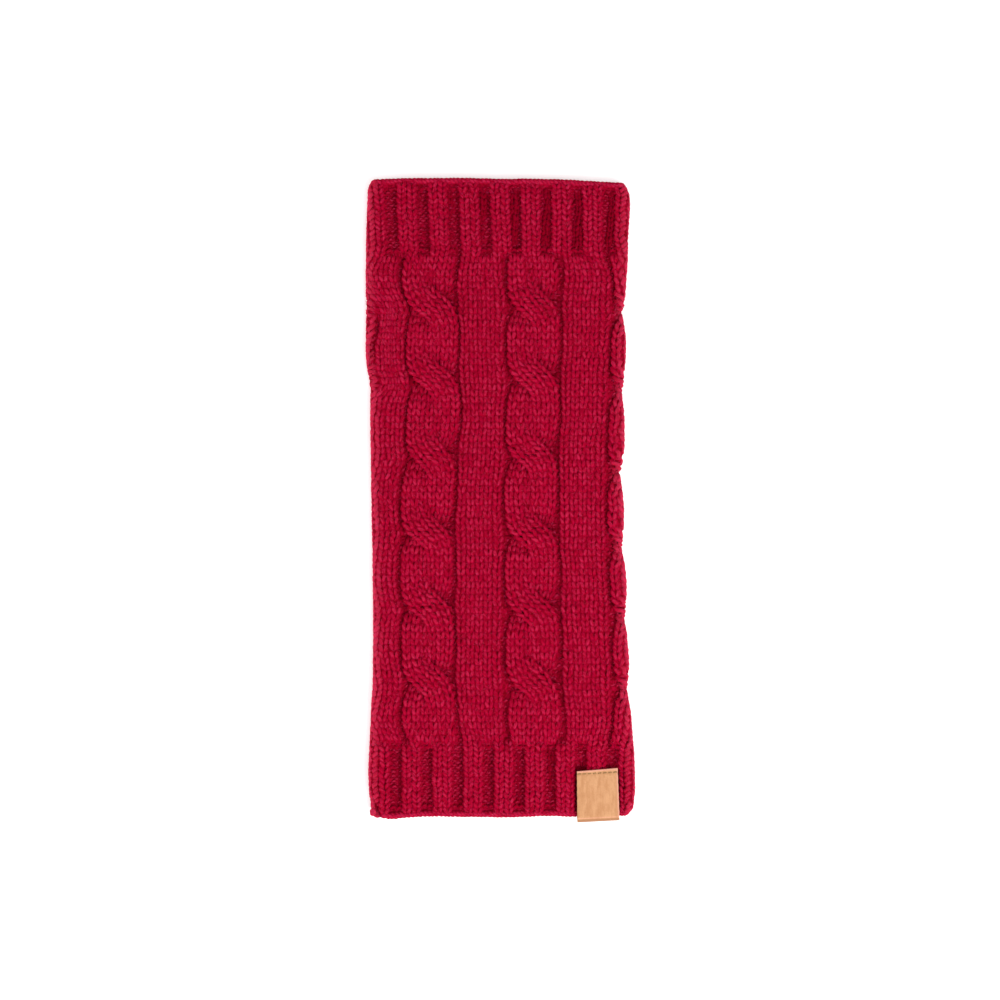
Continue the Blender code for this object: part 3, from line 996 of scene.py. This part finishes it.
def yarn_material():
    g = Graph("wool")
    lay = g.attribute("lay")
    fibres = g.noise(g.stretch(lay, (0.8, 0.8, 0.10)), 4.2, 3.0, 0.6)
    heather = g.noise(g.stretch(lay, (0.8, 0.8, 0.28)), 1.15, 2.0, 0.55)
    wisps = g.noise(g.stretch(lay, (0.8, 0.8, 0.16)), 6.0, 1.0)
    sit = g.attribute("sit")
    outward, height, leg = sit.part(0), sit.part(1), sit.part(2)
    look = g.attribute("look")
    tone, rim = look.part(0), look.part(1)
    ply = abs(lay.part(0)).range(0.0, 0.42)
    base = g.blend((heather * 0.75 + fibres * 0.25).range(0.36, 0.60), DARK, CRIMSON)
    # painted shade in the grooves between the plies
    base = g.blend((1 - ply) * 0.08, base, DEEP_SHADE)
    # painted shade on the side of the yarn that faces into the fabric
    base = g.blend((1 - outward.range(-0.3, 0.6)) * 0.04, base, DEEP_SHADE)
    # painted shade in sunken places: purl columns, grooves and the strands' dips
    sunk = 1 - height.range(-2.0, 0.5)
    base = g.blend(sunk * 0.56, base, DEEP_SHADE)
    # painted shade at the legs' ends, between one row's stitches and the next
    base = g.blend((1 - leg.range(0.2, 0.85)) * (1 - sunk) * 0.22, base, DEEP_SHADE)
    # painted highlight on the crest of each leg, made patchy by the fibres' random tone
    crest_highlight = outward.range(0.40, 1.0) * leg.range(0.78, 1.0) * (tone * 0.55 + 0.08)
    base = g.blend(crest_highlight * (wisps + heather).range(0.75, 1.20) * (1 - sunk * 0.3), base, PALE_HIGHLIGHT)
    # painted highlight on the heads of the purl loops: purl columns show a row of paler dots
    head_highlight = outward.range(0.35, 0.95) * (1 - leg.range(0.15, 0.6)) * sunk.range(0.5, 0.9)
    base = g.blend(head_highlight * heather.range(0.40, 0.56) * 0.65, base, PALE_HIGHLIGHT)
    # painted rim light along the folds' edge
    base = g.blend(rim * 0.42, base, RIM_LIGHT)
    rise = ply * 0.5 + fibres * 0.5
    return g.finish(
        Base_Color=base, Roughness=0.95, Specular_IOR_Level=0.02, Sheen_Weight=0.02,
        Sheen_Roughness=0.35, Sheen_Tint=(1.0, 0.45, 0.55, 1),
        Subsurface_Weight=0.4, Subsurface_Radius=(1.0, 0.1, 0.2), Subsurface_Scale=0.0012,
        Normal=g.bump(rise, 0.5, 0.00016),
    )


def matted_material():
    g = Graph("wool_backs")
    place = g.node("ShaderNodeTexCoord", output=3)
    knots = g.noise(place, 900.0, 3.0, 0.6)
    # random knots mottle it between crimson and the painted shade colour: the sheet among the yarns
    # reads partly as shade
    return g.finish(Base_Color=g.blend(knots.range(0.35, 0.65), DEEP_SHADE, CRIMSON),
                    Roughness=1.0, Specular_IOR_Level=0.05)


def leather_material():
    g = Graph("leather")
    place = g.node("ShaderNodeTexCoord", output=3)
    mottle = g.noise(g.stretch(place, (1.0, 0.6, 1.0)), 260.0, 4.0, 0.6)
    streaks = g.noise(g.stretch(place, (1.0, 0.16, 1.0)), 900.0, 3.0, 0.6)
    grain = g.node("ShaderNodeTexVoronoi", {"feature": "DISTANCE_TO_EDGE"}, Vector=place,
                   Scale=1500.0)
    pores = g.noise(place, 3200.0, 3.0, 0.6)
    tone = mottle * 0.55 + streaks * 0.45
    base = g.blend(tone.range(0.38, 0.62), LEATHER_DARK, LEATHER_LIGHT)
    base = g.blend((1 - grain.range(0.0, 0.10)) * 0.22, base, (0.34, 0.15, 0.06, 1))
    base = g.blend(pores.range(0.60, 0.75) * 0.25, base, (0.38, 0.18, 0.075, 1))
    # the cut edges are paler in colour with a painted highlight; the bend gets painted shade with a
    # painted highlight line above it
    x, y, z = (place.part(k) / MM for k in range(3))
    (x0, y0), (x1, y1) = LEAF_TOP
    # paler cut edges along the top and the right: the edge's own paler colour with a painted highlight
    below_top = y0 + (x - x0) * ((y1 - y0) / (x1 - x0)) - y
    base = g.blend((1 - below_top.range(0.35, 0.75)) * 0.75, base, LEATHER_CUT_HIGHLIGHT)
    right_x = x1 + (y1 - y) * ((LEAF_BOTTOM[1][0] - x1) / (y1 - LEAF_BOTTOM[1][1]))
    base = g.blend((1 - (right_x - x).range(0.3, 0.8)) * 0.6, base, LEATHER_CUT_HIGHLIGHT)
    (x0, y0), (x1, y1) = LEAF_BOTTOM
    above_fold = y - y0 - (x - x0) * ((y1 - y0) / (x1 - x0))
    # painted shade on the bend as it turns down
    base = g.blend((1 - above_fold.range(1.1, 1.6)) * 0.85, base, LEATHER_SHADE)
    # painted highlight line along the top of the bend
    line = above_fold.range(1.45, 1.75) * (1 - above_fold.range(1.75, 2.1))
    base = g.blend(line * 0.4, base, LEATHER_CUT_HIGHLIGHT)
    # painted shade on the bend's lower part and the inner leaf, which lie under the fabric
    base = g.blend((1 - z.range(6.2, 7.4)) * 0.7, base, LEATHER_SHADE)
    return g.finish(Base_Color=base, Roughness=0.62, Specular_IOR_Level=0.3,
                    Normal=g.bump(grain.range(0.0, 0.16) * 0.6 + pores * 0.4, 0.45, 0.00010))


def thread_material():
    g = Graph("thread")
    lay = g.attribute("lay")
    ply = abs(lay.part(0)).range(0.0, 0.5)
    # darker in the grooves between the plies: painted shade
    base = g.blend(ply, (0.13, 0.06, 0.02, 1), (0.36, 0.20, 0.08, 1))
    return g.finish(Base_Color=base, Roughness=0.7, Specular_IOR_Level=0.3,
                    Normal=g.bump(ply, 0.6, 0.00008))


# ---- the label
def label_path():
    """The strap's middle line: how far down the front leaf, and how far it has turned, in radians."""
    centre = LEAF_TALL - BEND - LEATHER / 2
    front = np.linspace(0, centre, LEAF_ROWS + 1)
    bend = np.linspace(0, math.pi, BEND_ROWS + 1)[1:]
    inner = np.linspace(centre, INNER_LEAF_TOP, INNER_ROWS + 1)[1:]
    down = np.concatenate([front, centre + BEND * np.sin(bend), inner])
    return down[:, None], np.concatenate([0 * front, bend, 0 * inner + math.pi])[:, None]


def label_skin(side):
    """The outer (1) or inner (-1) face of the strap: rows down it, and points across, in metres."""
    down, turned = label_path()
    u = np.linspace(0, 1, LEAF_CELLS + 1)
    share, edge = down / LEAF_TALL, np.minimum(u, 1 - u)
    top, bottom = (mix(*np.array(ends)[:, :, None], u) for ends in (LEAF_TOP, LEAF_BOTTOM))
    x, y = (mix(top[k], bottom[k], share) for k in (0, 1))
    far, quick, within = LEAF_WANDER
    x = x + far * np.sin(down * quick + side) * ease(within, 0.0, edge)
    near = np.exp(-(((down - stitch_drop(u)) / STITCH_GROOVE_WIDTH) ** 2))
    dip = -STITCH_GROOVE * near * (0.75 + 0.25 * np.cos(2 * math.pi * u * STITCHES))
    far, quick, start = LEAF_WARP
    dip = dip + far * np.sin(u * math.pi * quick + start) * (1 - share)
    dip = dip - SIDE_DROP[0] * ease(SIDE_DROP[1], 0.0, edge)
    dip = dip - TOP_DROP[0] * ease(TOP_DROP[1], 0.0, down)
    dip = np.where(turned > 0, 0.0, dip if side > 0 else dip / 2)
    lift = side * LEATHER / 2
    z = BEND_Z + (BEND + lift) * np.cos(turned) + dip
    return np.stack([x, y - lift * np.sin(turned), z], axis=-1) * MM


def stitch_drop(u):
    """From the label's top edge to its row of stitches, at a share of its width."""
    return mix(*STITCH_DROP, u)


def label_piece(material):
    """A strap of leather, folded over the hem, its row of stitches pressed in."""
    bm = bmesh.new()
    for side in (1, -1):
        sheet(bm, label_skin(side))
    bmesh.ops.bridge_loops(bm, edges=[e for e in bm.edges if e.is_boundary])
    bmesh.ops.recalc_face_normals(bm, faces=bm.faces)
    rim = [e for e in bm.edges if e.calc_face_angle(0) > SHARP]
    bmesh.ops.bevel(bm, geom=rim, offset=LABEL_BEVEL * MM, segments=2, profile=0.5, affect="EDGES",
                    material=-1)
    return link("leather_label", bm, material)


def label_stitches(material):
    """The row of stitches through the label, each a short arch of thread."""
    (x0, y0), (x1, y1) = LEAF_TOP
    a = np.linspace(0, 1, STITCH_POINTS)
    arch = np.minimum(1.0, STITCH_STEEP * np.sin(math.pi * a))
    z = LEAF_Z + LEATHER / 2 - STITCH_SUNK + STITCH_RISE * arch
    paths = []
    for n in range(STITCHES):
        u = (n + STITCH_START + STITCH_SHOWS * a) / STITCHES
        y = y0 + (y1 - y0) * u - stitch_drop(u) + STITCH_LEAN * (a - 0.5)
        paths.append(np.stack([x0 + (x1 - x0) * u, y, z], axis=1) * MM)
    return tubes("label_stitches", paths, STITCH_RADIUS, THREAD_SIDES, material, False, THREAD_TWIST)


# ---- build it
laid = layout()
rows = yarn_rows(laid)
rules = edge_rules(rows)
rows = settle(rows, rules)
rows = np.roll(rows, -FIRST_COLUMN * LOOP_STEPS, axis=1)
wool, backs = yarn_material(), matted_material()
PIECES = (
    # name, first row, the row after its last, what it replaces
    ("knit_cuff_bottom", 0, 14, "cuff_bottom"),
    ("knit_arm_1", 14, 33, "arm_tube"),
    ("knit_arm_2", 33, 52, "arm_tube"),
    ("knit_arm_3", 52, 71, "arm_tube"),
    ("knit_arm_4", 71, 90, "arm_tube"),
    ("knit_cuff_top", 90, 104, "cuff_top"),
)
for name, low, high, node in PIECES:
    paths = list(rows[low:high])
    if low == 0:
        paths += [settle(path, rules) for path in hem_edge(BOTTOM_HEM + HEM_INSET)]
        paths.append(seam_end())
    if high == len(rows):
        paths += [settle(path, rules) for path in hem_edge(TOP_HEM - HEM_INSET)]
    piece = tubes(name, paths, YARN, YARN_SIDES, wool)
    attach(piece, "root")
    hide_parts(node)
backing = shell_piece(laid, rules, backs)
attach(backing, "root")

fuzz_wool = Graph("wool_fuzz").finish(Base_Color=FUZZ, Roughness=0.9, Specular_IOR_Level=0.1)
fuzz = fuzz_piece(rows, fuzz_wool)
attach(fuzz, "root")

label = label_piece(leather_material())
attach(label, "root")
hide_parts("label")
seam = label_stitches(thread_material())
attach(seam, "root")

# ---- stage
floor_shape = bmesh.new()
bmesh.ops.create_grid(floor_shape, x_segments=1, y_segments=1, size=3.0)
paper = Graph("paper").finish(Base_Color=(0.86, 0.86, 0.86, 1), Roughness=0.9,
                              Specular_IOR_Level=0.1, Emission_Color=(1, 1, 1, 1),
                              Emission_Strength=0.45)
floor = link("floor", floor_shape, paper)

world = bpy.data.worlds.new("studio")
bpy.context.scene.world = world
world.use_nodes = True
sky = world.node_tree.nodes["Background"]
sky.inputs["Color"].default_value = (1, 1, 1, 1)
sky.inputs["Strength"].default_value = 0.56


def lamp(name, where, size, power):
    """A square light that looks at the part."""
    data = bpy.data.lights.new(name, "AREA")
    data.shape = "SQUARE"
    data.size = size
    data.energy = power
    made = add(name, data)
    made.location = where
    made.rotation_euler = (-Vector(where)).to_track_quat("-Z", "Y").to_euler()


lamp("key", (0.55, -0.60, 0.95), 0.9, 15.0)
lamp("side", (-1.3, 0.0, 0.35), 0.6, 9.0)

LENS, SENSOR, VIEW_WIDTH = 100, 36, 0.4  # the last: metres across the picture
camera_data = bpy.data.cameras.new("camera")
camera_data.lens = LENS
camera_data.sensor_width = SENSOR
camera = add("camera", camera_data)
camera.location = (-0.0002, 0.0002, VIEW_WIDTH * LENS / SENSOR + 0.006)
bpy.context.scene.camera = camera
bpy.context.scene.view_settings.view_transform = "Standard"
